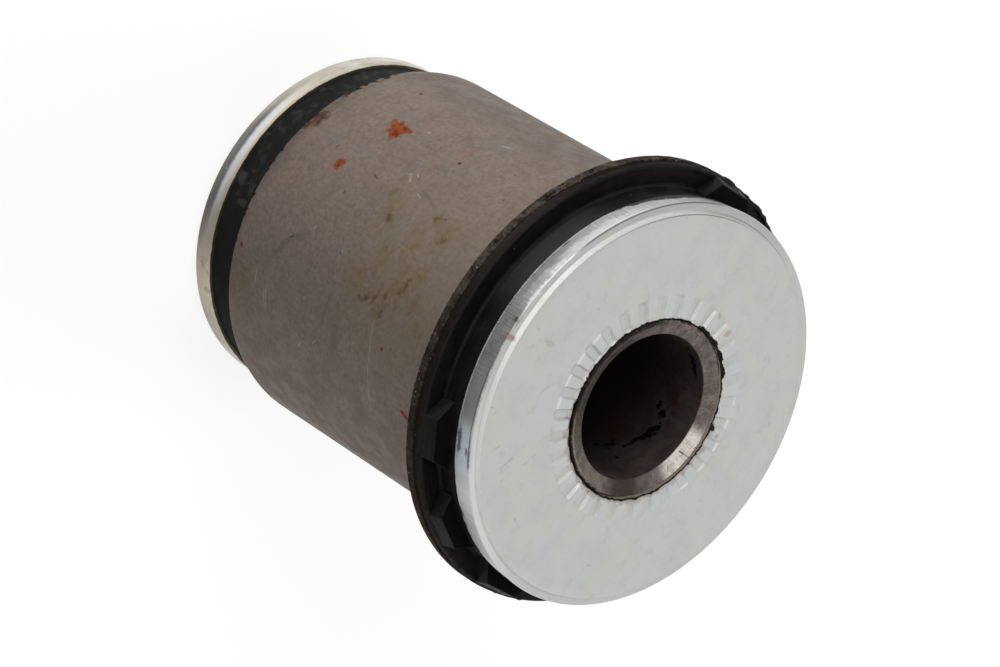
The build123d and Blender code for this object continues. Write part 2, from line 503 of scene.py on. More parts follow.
# marks on the sleeve: turn, height, half width and height in mm, lean, raggedness
sleeveMarks = {
    "rust": [
        (311.2, 44.6, 0.35, 0.75, 30, 0.9), (236, 20.8, 1.2, 1.55, 20, 0.8),
        (238.6, 21.3, 0.9, 0.75, -10, 0.9), (255.5, 18.7, 0.8, 0.75, 30, 0.9),
        (235, 22.3, 0.4, 0.8, -10, 0.9), (234.4, 19.6, 0.4, 0.7, 20, 0.9)
    ],
    "oldRust": [
        (246.5, 10.3, 1.3, 1.1, 15, 0.9), (249.6, 9.9, 0.9, 0.45, 0, 0.9),
        (235.7, 32.5, 0.3, 0.25, 0, 0.6), (218.6, 16.1, 0.22, 0.3, 0, 0.6),
        (291.6, 10.7, 0.4, 0.3, 0, 0.8), (296, 39.2, 0.3, 0.25, 0, 0.8)
    ],
    "stained": [
        (259, 40.2, 2, 1.1, 28, 1.6), (254.6, 37.6, 1, 1.3, 30, 1.5),
        (266.6, 37, 2.6, 1, -12, 1.6), (277.9, 38.6, 2.6, 1.6, 0, 1.8),
        (281.8, 31.6, 2.4, 1.3, -25, 1.8), (259.5, 30.6, 2.2, 1.1, -10, 1.6),
        (282.5, 36.6, 2.2, 1.4, 10, 1.8), (271.5, 40.6, 2, 0.9, 10, 1.8),
        (273.5, 34, 2.2, 1.2, 0, 1.8), (285.4, 43.8, 1.1, 0.8, 0, 1.5),
        (284, 34.6, 0.9, 1.9, -20, 1.6), (287.4, 36.6, 1, 0.9, -30, 1.6),
        (280, 42, 1.2, 0.8, 0, 1.8), (254.5, 29, 1.8, 0.6, -20, 1.8),
        (299.8, 12.3, 1.2, 1, 0, 1.6)
    ],
    "reddish": [
        (233.6, 31.6, 1.8, 1.5, 0, 1.4), (239, 29.8, 1.2, 1, 0, 1.4),
        (265.6, 36.7, 1.2, 0.6, -20, 1.4), (266, 13.2, 1.4, 1.2, 0, 1.4),
        (219, 16.2, 1.2, 0.8, 0, 1.4), (229, 24, 1.4, 1.2, 0, 1.4),
        (291, 11, 0.9, 0.8, 0, 1.4), (305, 30.6, 2.2, 0.8, 0, 1.4)
    ],
    "bluish": [
        (242, 28.6, 2.2, 0.5, 20, 1.2), (248.5, 20.5, 0.7, 1.6, 0, 1.2),
        (249, 15, 1, 1.4, 0, 1.2), (263, 33.8, 1.4, 1, 0, 1.2),
        (277.6, 27.4, 0.8, 0.6, 0, 1.2), (221, 33, 1.2, 1.6, -20, 1.2)
    ],
    "brown": [
        (285.6, 33.9, 0.4, 1, -15, 1.4), (277, 39.2, 1.3, 0.4, 10, 1.5),
        (259.8, 40.4, 1, 0.35, 35, 1.5), (284.4, 35.4, 0.9, 0.3, 20, 1.4),
        (254.4, 37.4, 0.6, 0.35, 30, 1.4), (287.2, 37.2, 0.5, 0.4, 0, 1.4),
        (281.5, 37, 0.8, 0.3, 0, 1.5), (262, 31, 0.7, 0.35, 0, 1.4)
    ],
    "dark": [
        (253.2, 24.8, 0.12, 0.5, 20, 0.6), (281.4, 18.6, 0.14, 0.4, -35, 0.6),
        (253.6, 38.4, 0.2, 0.2, 0, 0.5), (277.8, 27.3, 0.25, 0.2, 0, 0.5),
        (239, 42.4, 0.2, 0.15, 0, 0.5), (294.4, 40.7, 0.25, 0.12, -10, 0.5),
        (251.3, 16.35, 0.3, 0.15, 20, 0.6), (262, 22.5, 0.2, 0.15, 20, 0.6),
        (229, 39.6, 0.15, 0.15, 0, 0.6)
    ],
    "smoky": [
        (280, 19.8, 1.5, 0.4, 53, 0.6), (285.4, 17.6, 1.9, 0.4, 32, 0.6),
        (294.6, 28.1, 2.3, 0.25, 6, 0.6), (250.8, 34, 0.25, 1.6, 15, 0.8),
        (303, 30.6, 2.6, 0.7, 5, 1)
    ],
    "lines": [
        (294.3, 36.9, 2.1, 0.1, -6, 0.5), (302.7, 37.3, 1.8, 0.08, -2, 0.5),
        (312.4, 37.7, 2.6, 0.09, -7, 0.5)
    ],
    "pale": [
        (220.4, 33.8, 0.2, 0.6, -25, 0.7), (306.6, 26.8, 0.55, 0.07, 38, 0.5),
        (310.2, 24.1, 0.6, 0.08, 30, 0.5), (302.8, 16.9, 1.7, 0.055, -5, 0.4),
        (302.6, 16.55, 1.5, 0.045, -5, 0.4), (298.2, 14.5, 1.1, 0.06, -4, 0.4),
        (275.6, 21.5, 0.3, 0.12, 25, 0.7), (248.2, 29.2, 0.5, 0.12, -45, 1.1),
        (246.4, 29.9, 0.3, 0.08, -60, 1), (247.2, 28.8, 0.3, 0.08, 40, 1),
        (251.6, 32.4, 0.12, 0.6, 20, 0.8), (277.6, 27.4, 0.35, 0.12, 20, 0.7),
        (231.5, 24.5, 0.15, 0.2, 0, 0.6)
    ]
}

shader, reach, height = startFinish("phosphatedSteel", 0.5, 0.06)
fuzz = someMottle(0.8, 1.7, 0.2, 0.8, 4)
wide = someMottle(11, 2, 0.3, 0.7, 3)
patchy = someMottle(2.6, 4, 0.3, 0.7, 4)
fine = someMottle(0.55, 6, 0.25, 0.75, 4)
drawn = someGrain(9, 0.25, 0.75, 3, turnSize=0.9, heightSize=7)


def onSleeve(kind, soft=0.35):
    return allMarks(height, fuzz, sleeveRadius, sleeveMarks[kind], soft)


# the turn with its jump at 180 rather than at 0
backTurn = reckon("WRAP", reckon("ADD", now["turn"], 180), 360, 0)
# painted shade: the sleeve is darker on its flanks, from 180 to 216 degrees and from about 315
# round to 25
fading = spread(backTurn, 220, 164)
sides = either(arc(180, 216, 14), both(fading, spread(backTurn, 122, 154)))
yellowed = both(arc(246, 300, 12), spread(height, 27, 35))
dirt = someMottle(0.9, 26, 0.34, 0.66, 5)
stained = onSleeve("stained", 1.5)
dark = either(onSleeve("dark"), someSpecks(2.6, 0.12, 0.3, 2))
rust = onSleeve("rust", 0.6)
rustColor = cover((0.12, 0.022, 0.008), (0.3, 0.07, 0.02), someMottle(0.8, 12, 0.35, 0.65, 4))
oldRust = onSleeve("oldRust", 0.8)
oldColor = cover((0.13, 0.042, 0.024), (0.035, 0.02, 0.016), someMottle(0.6, 44, 0.42, 0.6, 3))
# rubber smeared over the rear edge, and grime along the collar
edgeRise = plus(height, fuzz, 1.6)
smear = either(
    both(spread(edgeRise, 11, 10.3), arc(214, 236, 5)),
    both(spread(edgeRise, 10.5, 10.1), arc(244, 252, 4)),
    both(spread(edgeRise, 9.95, 9.75), arc(256, 300, 6))
)
haze = both(spread(edgeRise, 12.6, 9.6), arc(206, 276, 10))
grimeNear = either(spread(reach, 24, 26.6), spread(height, collarBottom - 1.6, collarBottom))
coarse = both(someMottle(2.3, 65, 0.36, 0.62, 3), 0.45)
crusty = plus(coarse, someMottle(0.6, 15, 0.3, 0.62, 5), 0.55)
onRim = spread(reach, 27.2, 27.6)
# painted shade on the collar's underside
under = both(spread(reach, 23.4, 24.6), spread(height, collarBottom + 0.1, collarBottom - 0.05))
rimColor = layers((0.11, 0.085, 0.07), [
    ((0.008, 0.006, 0.005), crusty, 1),
    # painted shade on the collar's rim from 266 to 335 degrees
    ((0.02, 0.014, 0.012), arc(266, 335, 14), 0.6),
    ((0.12, 0.1, 0.06), both(someMottle(0.7, 52, 0.54, 0.7, 4), arc(222, 295, 12)), 0.6),
])
matt = either(rust, oldRust, smear, both(either(grimeNear, onRim), 0.8))
roughness = shift(spread(patchy, 0, 1, 0.44, 0.6), 0.85, matt)
feed(shader["Metallic"], spread(matt, 0, 1, 0.5, 0))
color = layers((0.183, 0.144, 0.117), [
    ((0.213, 0.169, 0.138), wide, 1),
    ((0.17, 0.135, 0.114), patchy, 0.4),
    ((0.36, 0.3, 0.262), fine, 0.3),
    ((0.08, 0.062, 0.051), someMottle(0.46, 91, 0.42, 0.7, 4), 0.27),
    # painted shade on the sleeve's flanks, deeper from about 335 round to 20 degrees
    ((0.14, 0.105, 0.082), sides, 0.4),
    ((0.08, 0.06, 0.047), both(fading, spread(backTurn, 148, 164)), 0.3),
    ((0.15, 0.12, 0.102), drawn, 0.15),
    ((0.21, 0.172, 0.118), both(yellowed, patchy), 0.5),
    ((0.215, 0.165, 0.088), stained, 0.42),
    ((0.14, 0.1, 0.048), both(stained, dirt), 0.56),
    ((0.3, 0.17, 0.125), both(onSleeve("reddish", 1.6), patchy), 0.45),
    ((0.2, 0.19, 0.185), onSleeve("bluish", 1.6), 0.35),
    ((0.1, 0.066, 0.036), both(onSleeve("brown", 1), spread(dirt, 0, 1, 0.4, 1)), 0.8),
    ((0.12, 0.095, 0.082), onSleeve("smoky", 1.7), 0.5),
    ((0.38, 0.32, 0.28), onSleeve("lines", 1.4), 0.5),
    ((0.46, 0.41, 0.37), onSleeve("pale", 0.8), 0.5),
    ((0.06, 0.045, 0.038), dark, 0.6),
    ((0.36, 0.31, 0.27), someSpecks(3.1, 0.11, 0.35, 31), 0.5),
    ((0.25, 0.1, 0.06), someSpecks(5, 0.16, 0.3, 7), 0.5),
    (rustColor, rust, 0.93),
    (oldColor, oldRust, 0.88),
    ((0.05, 0.042, 0.037), haze, 0.45),
    ((0.008, 0.007, 0.0065), smear, 0.95),
    ((0.05, 0.037, 0.028), both(grimeNear, crusty), 0.75),
    ((0.04, 0.032, 0.027), under, 0.8),
    (rimColor, onRim, 1),
    ((0.4, 0.36, 0.3), both(onRim, someSpecks(0.5, 0.13, 0.16, 3)), 0.7),
])
endFinish(sleeve, shader, color, roughness, [
    (fine, 0.016), (drawn, 0.004), (rust, 0.04), (both(onRim, crusty), 0.08)
])


# Rubber moulding

rubberBody = {
    "flangeThickness": 1.3, "flangeDip": 0.25, "flangeEdge": 0.35, "landWidth": 2.79,
    "rootRound": 0.45, "neckRadius": 21.15, "waistDepth": 0.35, "lipRadius": 22.2,
    "lipThickness": 0.8, "flash": 0.26, "columns": 480,
}
flangeTop = collarTop + rubberBody["flangeThickness"]
flangeRoot = flangeTop - rubberBody["flangeDip"]
wallRadius = flangeRadius - rubberBody["landWidth"]
waistRadius = rubberBody["neckRadius"] - rubberBody["waistDepth"]
lipBottom = sleeveBottom - rubberBody["lipThickness"]
rubber = turnPiece("rubberBody", rubberBody["columns"], [
    (tubeRadius, neckBottom), (rubberBody["neckRadius"], neckBottom),
    (waistRadius, (neckBottom + lipBottom) / 2, 4), (waistRadius, lipBottom, 4),
    (rubberBody["lipRadius"], lipBottom, 3), (rubberBody["lipRadius"], sleeveBottom),
    (sleeveBore, sleeveBottom), (sleeveBore, collarTop), (flangeRadius, collarTop, 3),
    (flangeRadius, flangeTop, 5), (wallRadius, flangeRoot, 5), (wallRadius, wallTop, 6),
    (tubeRadius, wallTop),
])
roundRing(rubber, (flangeRadius, flangeTop), rubberBody["flangeEdge"], 4)
roundRing(rubber, (wallRadius, flangeRoot), rubberBody["rootRound"], 4)


def flashWeight(angle, reach, height):    # the torn flash round the flange's edge
    if reach < flangeRadius - 0.36 or height < collarTop + 0.2 or height > flangeTop - 0.02:
        return 0
    tornSide = max(window(angle, 154, 184, 4), 0.5 * window(angle, 184, 196, 4))
    torn = tornSide * (0.1 + 0.9 * ramp(rough(angle, 0, 0.034, 5), 0.46, 0.66))
    lumpySide = max(window(angle, 300, 326, 3), window(angle, 338, 376, 4))
    lumps = 0.6 * ramp(rough(angle, 0, 0.03, 8), 0.56, 0.75) * lumpySide
    return max(torn, lumps, 0.12 * ramp(rough(angle, 0, 0.03, 1), 0.5, 0.9))


pushPiece(rubber, "flash", rubberBody["flash"], flashWeight)

# the lugs on the flange: one is shaped from a cube and copied to each place
lugs = {
    "groups": (333.4, 153.4), "pitch": 28, "tipWidth": 5.1, "sink": 0.3, "tipInset": 0.1,
    "lean": 0.68, "slant": 31, "washerGap": 1.25, "edge": 0.16,
}
lugTop = wallTop - lugs["washerGap"]


def makeLug(angle):
    root = wallRadius - lugs["sink"]
    tip = flangeRadius - lugs["tipInset"]
    foot = flangeRoot - lugs["sink"]
    middle = (root + tip) / 2 * mm
    middleHeight = (foot + lugTop) / 2 * mm
    bpy.ops.object.select_all(action="DESELECT")
    bpy.ops.mesh.primitive_cube_add(
        size=1, location=(middle, 0, middleHeight),
        scale=((tip - root) * mm, lugs["tipWidth"] * mm, (lugTop - foot) * mm),
    )
    lug = bpy.context.object
    bpy.ops.object.transform_apply(location=True, rotation=True, scale=True)
    bpy.ops.object.mode_set(mode="EDIT")
    bpy.ops.mesh.select_mode(type="VERT")
    pickPoints(lug, lambda place: place.x < middle)    # the root is wider than the tip
    gain = 1 + 2 * (tip - root) * math.tan(math.radians(lugs["slant"])) / lugs["tipWidth"]
    bpy.ops.transform.resize(value=(1, gain, 1), center_override=(0, 0, 0))
    pickPoints(lug, lambda place: place.x > middle and place.z > middleHeight)
    bpy.ops.transform.translate(value=(-lugs["lean"] * mm, 0, 0))
    bpy.ops.mesh.select_all(action="SELECT")
    bpy.ops.mesh.bevel(offset=lugs["edge"] * mm, segments=2, profile=0.5, affect="EDGES")
    bpy.ops.transform.rotate(value=-math.radians(angle), orient_axis="Z", center_override=(0, 0, 0))
    bpy.ops.object.mode_set(mode="OBJECT")
    return lug


for group in lugs["groups"]:
    for step in (-1, 0, 1):
        lug = makeLug(group + step * lugs["pitch"])
        union = rubber.modifiers.new("lug", "BOOLEAN")
        union.operation = "UNION"
        union.solver = "MANIFOLD"
        union.object = lug
        bpy.context.view_layer.objects.active = rubber
        bpy.ops.object.modifier_apply(modifier="lug")
        bpy.data.objects.remove(lug, do_unlink=True)
fitPiece(rubber, "rubber_body", 40)

shader, reach, height = startFinish("blackRubber", 0, 0.13)
fuzz = someMottle(0.9, 4.4, 0.2, 0.8, 4)
skin = someMottle(0.22, 7, 0.25, 0.75, 3)
dusty = someMottle(2.4, 9, 0.42, 0.75, 4)
swept = someGrain(3, 0.35, 0.75, 3, turnSize=14, heightSize=0.35, reachSize=0.35)
sheen = both(spread(reach, 25, 24.8), spread(height, flangeRoot + 0.2, flangeRoot + 0.8))
sheen = both(sheen, either(arc(230, 262, 9), arc(340, 352, 5)))
# the lugs' tops lie in the washer's shade
shaded = both(spread(height, lugTop - 0.12, lugTop - 0.04),
              spread(reach, wallRadius + 0.1, wallRadius + 0.3))
neck = spread(height, lipBottom + 0.4, lipBottom - 0.1)
neckMark = allMarks(height, fuzz, 21, [(281.7, 6.2, 0.5, 1.1, -8, 0.7)], 0.8)
blotches = either(someMottle(1.7, 13, 0.46, 0.76, 2), neckMark)
blotches = both(blotches, spread(arc(205, 284, 8), 0, 1, 0.15, 1))
neckColor = cover((0.007, 0.0075, 0.0068), (0.04, 0.044, 0.038), blotches, 0.8)
crumbs = someSpecks(1.5, 0.12, 0.25, 4)
rim = both(spread(reach, flangeRadius - 0.3, flangeRadius - 0.05),
           spread(height, flangeTop + 0.2, collarTop))
smutty = both(rim, someMottle(0.6, 61, 0.55, 0.7, 4))
roughness = spread(either(dusty, neck, rim), 0, 1, 0.46, 0.66)
roughness = shift(roughness, 1, either(rim, shaded))
color = layers((0.004, 0.0031, 0.0031), [
    ((0.0085, 0.0068, 0.0067), swept, 1),
    ((0.022, 0.018, 0.0165), dusty, 0.28),
    ((0.034, 0.031, 0.031), sheen, 0.8),
    ((0.002, 0.0016, 0.0016), shaded, 0.9),
    (neckColor, neck, 1),
    ((0.12, 0.11, 0.1), crumbs, 0.6),
    ((0.011, 0.0065, 0.005), rim, 0.8),
    # dust with a painted sheen on the flange's rim from 234 to 262 degrees
    ((0.03, 0.025, 0.023), both(rim, arc(234, 262, 10)), 0.75),
    ((0.06, 0.05, 0.042), smutty, 0.45),
    # painted shade on the flange's rim from 182 to 216 degrees
    ((0.003, 0.0022, 0.002), both(rim, arc(182, 216, 9)), 0.6),
])
endFinish(rubber, shader, color, roughness, [(skin, 0.015), (swept, 0.012), (crumbs, 0.05)])


# Front washer, serrated round its hole

frontWasher = {
    "hole": 11.08, "holeEdge": 0.35, "beadInset": 1.17, "beadHeight": 0.1, "bevelWidth": 0.32,
    "bevelDepth": 0.48, "rimTaper": 0.2, "rimDrop": 0.52, "backEdge": 0.22, "burr": 0.09,
    "dent": 0.1, "dirt": 0.3, "columns": 600, "turnedBy": 0.3,
    # the rings of points on the face, closer where the serrations end
    "rings": (22.6, 20.8, 19, 17.2, 15.6, 14.8, 14.6, 14.4, 14.2, 14, 13.85, 13.7, 13.55,
              13.4, 13.2, 12.9, 12.5, 12.2, 12, 11.8, 11.6),
}
# the ring of teeth was pressed a little to one side, and the land inside it is wider there
teeth = {
    "count": 30, "first": -1.5, "span": 6.6, "height": 0.2, "groove": 0.22, "end": 13.65,
    "slope": 0.35, "wider": 0.25, "offCentre": 0.3, "offSide": 85, "land": 11.3,
    "landWider": 0.7, "landSide": 80,
}
hole, holeEdge = frontWasher["hole"], frontWasher["holeEdge"]
frontFace = toothTop - teeth["height"]
backRadius = frontRadius - frontWasher["rimTaper"]
beadRadius = frontRadius - frontWasher["beadInset"]
bevelFoot = beadRadius + frontWasher["bevelWidth"]
rimHeight = frontFace - frontWasher["rimDrop"]
footHeight = frontFace - frontWasher["bevelDepth"]
crest = frontFace + frontWasher["beadHeight"]
front = turnPiece("frontWasher", frontWasher["columns"], [
    (hole, frontBack), (backRadius, frontBack, 4), (frontRadius - 0.03, rimHeight - 0.3, 9),
    (frontRadius, rimHeight - 0.08),
    (frontRadius - 0.02, rimHeight + 0.02),    # the burr round the rim
    (frontRadius - 0.12, rimHeight),
    (frontRadius - 0.3, rimHeight - 0.02),
    (bevelFoot + 0.2, footHeight - 0.01),
    (bevelFoot, footHeight),
    (beadRadius + frontWasher["bevelWidth"] * 0.5, frontFace - 0.19),
    (beadRadius + 0.04, crest - 0.03),
    (beadRadius, crest),
    (beadRadius - 0.07, crest - 0.02),
    (beadRadius - 0.25, frontFace),
    *[(ring, frontFace) for ring in frontWasher["rings"]],
    (hole + holeEdge, frontFace),
    (hole + holeEdge * 0.35, frontFace - holeEdge * 0.35),
    (hole, frontFace - holeEdge),
], frontWasher["turnedBy"])
roundRing(front, (backRadius, frontBack), frontWasher["backEdge"], 4)


def toothWeight(angle, radius, height, raised):    # the teeth, or the grooves between them
    if height < frontFace - 0.01 or radius > 15:
        return 0
    pitch = 360 / teeth["count"]
    turn = (angle - teeth["first"]) % 360
    index = int(turn // pitch)
    along, span = turn % pitch, teeth["span"]
    if not raised:
        along, span = along - span, pitch - span
    if along < 0.3 or along > span - 0.3:
        return 0
    end = teeth["end"] + 0.2 * (rough(index * 12, 0, 0.3, 4) - 0.5)
    end += teeth["wider"] + teeth["offCentre"] * facing(angle, teeth["offSide"])
    size = 0.75 + 0.5 * (rough(index * 12, 0, 0.2, 9) - 0.5)
    start = teeth["land"] + teeth["landWider"] * max(0, facing(angle, teeth["landSide"]))
    return size * (1 - ramp(radius, end, end + teeth["slope"])) * ramp(radius, start, start + 0.2)


def burrWeight(angle, reach, height):    # metal turned up along the rim's edge
    if reach < frontRadius - 0.1 or abs(height - rimHeight) > 0.12:
        return 0
    tall = window(angle, 244, 266, 3) + 0.5 * window(angle, 274, 300, 6)
    tall += 0.35 * window(angle, 228, 240, 3)
    return min(1, 0.15 + tall) * (0.3 + 0.9 * rough(angle, 0, 0.05, 6))


def dentWeight(angle, reach, height):    # knocks in the rim
    if reach < bevelFoot or height < rimHeight - 1.5:
        return 0
    knock = window(angle, 304, 310, 3) * (0.6 + 0.6 * rough(angle, 0, 0.05, 2))
    return knock + 0.6 * window(angle, 267.5, 269, 1.2)


def fillWeight(angle, reach, height):    # dirt packed in the gap round the tube
    if reach > hole + 0.2 or height < frontFace - 0.5:
        return 0
    return (0.25 + window(angle, 140, 280, 14)) * (0.4 + 0.8 * rough(angle, 0, 0.03, 3))


for name, strength, weightAt in (
    ("teeth", teeth["height"], lambda *place: toothWeight(*place, True)),
    ("grooves", -teeth["groove"], lambda *place: toothWeight(*place, False)),
    ("burr", frontWasher["burr"], burrWeight),
    ("dent", -frontWasher["dent"], dentWeight),
    ("fill", frontWasher["dirt"], fillWeight),
):
    pushPiece(front, name, strength, weightAt, "Z")
fitPiece(front, "front_washer")

shader, reach, height = startFinish("brightZinc", 0.9, 0.1)
fuzz = someMottle(0.8, 2.2, 0.2, 0.8, 4)
clouds = someMottle(7, 5, 0.35, 0.65, 3)
cloudsToo = someMottle(4, 8, 0.4, 0.68, 4)
fine = someMottle(0.5, 3, 0.3, 0.7, 3)
smudge = someMottle(1.7, 12, 0.56, 0.74, 4)
faceSpecks = either(someSpecks(2.6, 0.13, 0.3, 1), someSpecks(1.1, 0.06, 0.25, 5))
faceMarks = allMarks(reach, fuzz, 20, [
    (268.2, 19.6, 0.35, 0.9, 0, 1.2), (311.5, 20, 0.2, 1, 20, 1),
    (315, 17.6, 0.12, 0.5, 10, 0.8), (313.6, 16.3, 0.1, 0.35, 20, 0.8),
    (292.1, 23.6, 0.09, 0.3, -10, 0.5), (317.4, 21, 0.1, 0.25, 10, 0.5),
    (266.6, 22.2, 0.08, 0.4, -5, 0.5), (305, 21.6, 0.12, 0.4, 20, 0.9),
    (283, 16.2, 0.12, 1.2, 50, 1.1), (319.3, 24.7, 0.15, 0.12, 0, 0.5),
    (17.6, 19.9, 0.4, 0.15, 0, 1), (354.7, 15.1, 0.2, 0.15, 0, 0.8),
    (334.3, 20.5, 0.2, 0.2, 0, 0.8), (246.5, 16.9, 0.2, 0.12, 0, 0.8)
], 0.8)
# the serrations: clean tops, duller grooves, and painted shade along each side of the teeth
pressed = plus(teeth["wider"], towards(teeth["offSide"]), teeth["offCentre"])
ringReach = reckon("SUBTRACT", reach, pressed)
onRing = spread(ringReach, 14.2, 13.9)
tops = both(onRing, spread(height, frontFace + 0.05, frontFace + 0.14))
floors = both(onRing, spread(height, frontFace - 0.03, frontFace - 0.12))
steps = both(without(either(tops, floors)), between(reach, 12.3, 13.4, 0.1))
toothEnds = both(arc(250, 296, 3), spread(height, frontFace + 0.01, frontFace + 0.06))
grooveEnds = both(arc(62, 117, 5), spread(height, frontFace - 0.01, frontFace - 0.06))
# painted highlights on the sloped ends of the teeth, on the near side and the far side
paintedToothEndHighlight = both(between(ringReach, 13.6, 13.95, 0.08), either(toothEnds, grooveEnds))
# the rim: a painted shade line inside the bead, a bevel and a grey band with painted light and
# shade by turn, and a sheared wall
paintedCreaseShade = both(between(reach, beadRadius - 0.2, beadRadius - 0.06, 0.05), arc(186, 236, 18))
band = between(reach, bevelFoot + 0.05, frontRadius - 0.1, 0.06)
slope = between(reach, beadRadius + 0.04, bevelFoot - 0.03, 0.04)
wall = both(spread(height, rimHeight - 0.02, rimHeight - 0.14), spread(reach, 24, 24.6))
sheared = someGrain(7, 0.25, 0.75, 4, turnSize=0.7, heightSize=3)
patches = someGrain(11, 0.3, 0.7, 3, turnSize=5, heightSize=1.2)
rising = plus(height, patches, 0.8)    # the height, made uneven
# painted dark reflection on the lower wall from 240 to 266 degrees
paintedLowDarkReflection = both(spread(rising, 59.1, 58.1), arc(240, 266, 9))
# painted dark reflection in streaks from 264 to 298 degrees
paintedDarkReflectionStreaks = both(arc(264, 298, 5), spread(sheared, 0, 1, 0.75, 1))
# the height below which the wall gets a painted shadow, higher from 150 to 219 degrees
paintedShadowEdge = plus(56.72, arc(150, 219, 11), 1)
# a painted highlight along the rounded back edge
paintedEdgeHighlight = both(between(height, frontBack + 0.2, frontBack + 0.42, 0.06), arc(228, 322, 6))
wallMarks = allMarks(height, fuzz, 25, [
    (303.8, 57.3, 1.5, 0.35, 0, 1), (306, 58.75, 0.5, 0.25, 0, 1)
], 0.8)
# the wall's colour by turn stands for what its metal mirrors: painted highlights from 224 to 250,
# 299 to 325 and 344 to 356 degrees, painted shade from 172 to 204, painted dark reflections from
# 240 to 298
wallColor = layers((0.5, 0.5, 0.495), [
    ((0.74, 0.75, 0.75), sheared, 0.7),
    ((0.9, 0.91, 0.91), both(arc(224, 250, 8), spread(rising, 58, 58.8)), 0.55),
    ((0.3, 0.3, 0.3), arc(172, 204, 8), 0.75),
    ((0.15, 0.15, 0.155), arc(178, 192, 6), 0.6),
    ((0.95, 0.95, 0.95), either(both(arc(313, 325, 6), 0.7), arc(344.5, 355.5, 4)), 0.9),
    ((0.33, 0.33, 0.32), paintedLowDarkReflection, 0.8),
    ((0.27, 0.275, 0.26), paintedDarkReflectionStreaks, 0.75),
    ((0.16, 0.165, 0.13), both(patches, arc(266, 281, 4)), 0.6),
    ((0.82, 0.86, 0.93), arc(299, 313, 3), 0.8),
    ((0.1, 0.1, 0.105), wallMarks, 0.8),
    ((0.025, 0.025, 0.025), spread(reckon("SUBTRACT", rising, paintedShadowEdge), 0.55, 0.2), 0.9),
    ((0.88, 0.89, 0.9), both(paintedEdgeHighlight, spread(sheared, 0, 1, 0.5, 1)), 0.85),
])
ridge = both(spread(reach, frontRadius - 0.16, frontRadius - 0.06),
             spread(height, rimHeight - 0.22, rimHeight - 0.1))
nicks = someGrain(14, 0.45, 0.6, 3, turnSize=2.2)
underRidge = both(between(height, rimHeight - 0.5, rimHeight - 0.3, 0.06),
                  spread(reach, 24.6, 25))
underNicks = both(between(height, rimHeight - 0.42, rimHeight - 0.26, 0.05),
                  both(spread(reach, 24.6, 25), arc(281, 303, 3)))
# painted highlights on the burr at 250 and 259 degrees
paintedBurrHighlight = allMarks(height, fuzz, 25, [
    (250.5, 59, 1.6, 0.3, 0, 1.2), (259, 59.2, 1.8, 0.25, 0, 1.2)
], 0.6)
knocks = allMarks(height, fuzz, 25, [
    (268, 59.2, 0.3, 0.4, 0, 0.8), (306, 59.25, 1.9, 0.2, 0, 1)
], 0.7)
# dirt in the gap, on the serrations and over the rim
drift = both(reckon("MAXIMUM", towards(teeth["landSide"]), 0), 0.8)
gapPlace = reckon("SUBTRACT", plus(reach, fuzz, -0.26), drift)
thick = plus(spread(arc(132, 176, 5), 0, 1, 0, 0.36), arc(300, 350, 6), -0.09)
gap = both(spread(gapPlace, 10.79, 10.91),
           spread(reckon("SUBTRACT", gapPlace, thick), 11.18, 11.06))
insideGap = spread(reckon("SUBTRACT", gapPlace, 11), 0.05, -0.05)
stain = allMarks(reach, fuzz, 12.5, [
    (87, 12.5, 0.25, 0.6, 10, 1.4), (156, 13.6, 0.4, 0.6, -20, 1.4),
    (169, 13.8, 0.35, 0.35, 0, 1.4), (352, 13.6, 0.2, 0.2, 0, 0.8),
    (97, 13.3, 0.25, 0.35, 0, 1.2)
], 0.9)
halo = spread(plus(reckon("SUBTRACT", reach, drift), fuzz, -0.9), 11.5, 11)
halo = both(halo, without(arc(100, 296, 12)))
crumb = allMarks(reach, fuzz, 11.8, [
    (100.5, 12.05, 0.45, 0.5, 0, 0.9), (290, 11.35, 0.35, 0.2, 0, 0.8),
    (110.5, 11.85, 0.4, 0.12, 0, 0.8)
], 0.5)
dirty = either(gap, crumb)
rustStreak = allMarks(height, fuzz, 25, [(272.6, 59.3, 0.35, 0.4, -5, 1)], 0.9)
roughness = shift(spread(clouds, 0, 1, 0.34, 0.44), 0.5, wall)
roughness = shift(roughness, 0.8, either(dirty, insideGap))
feed(shader["Metallic"], spread(either(dirty, both(insideGap, 0.6)), 0, 1, 0.9, 0))
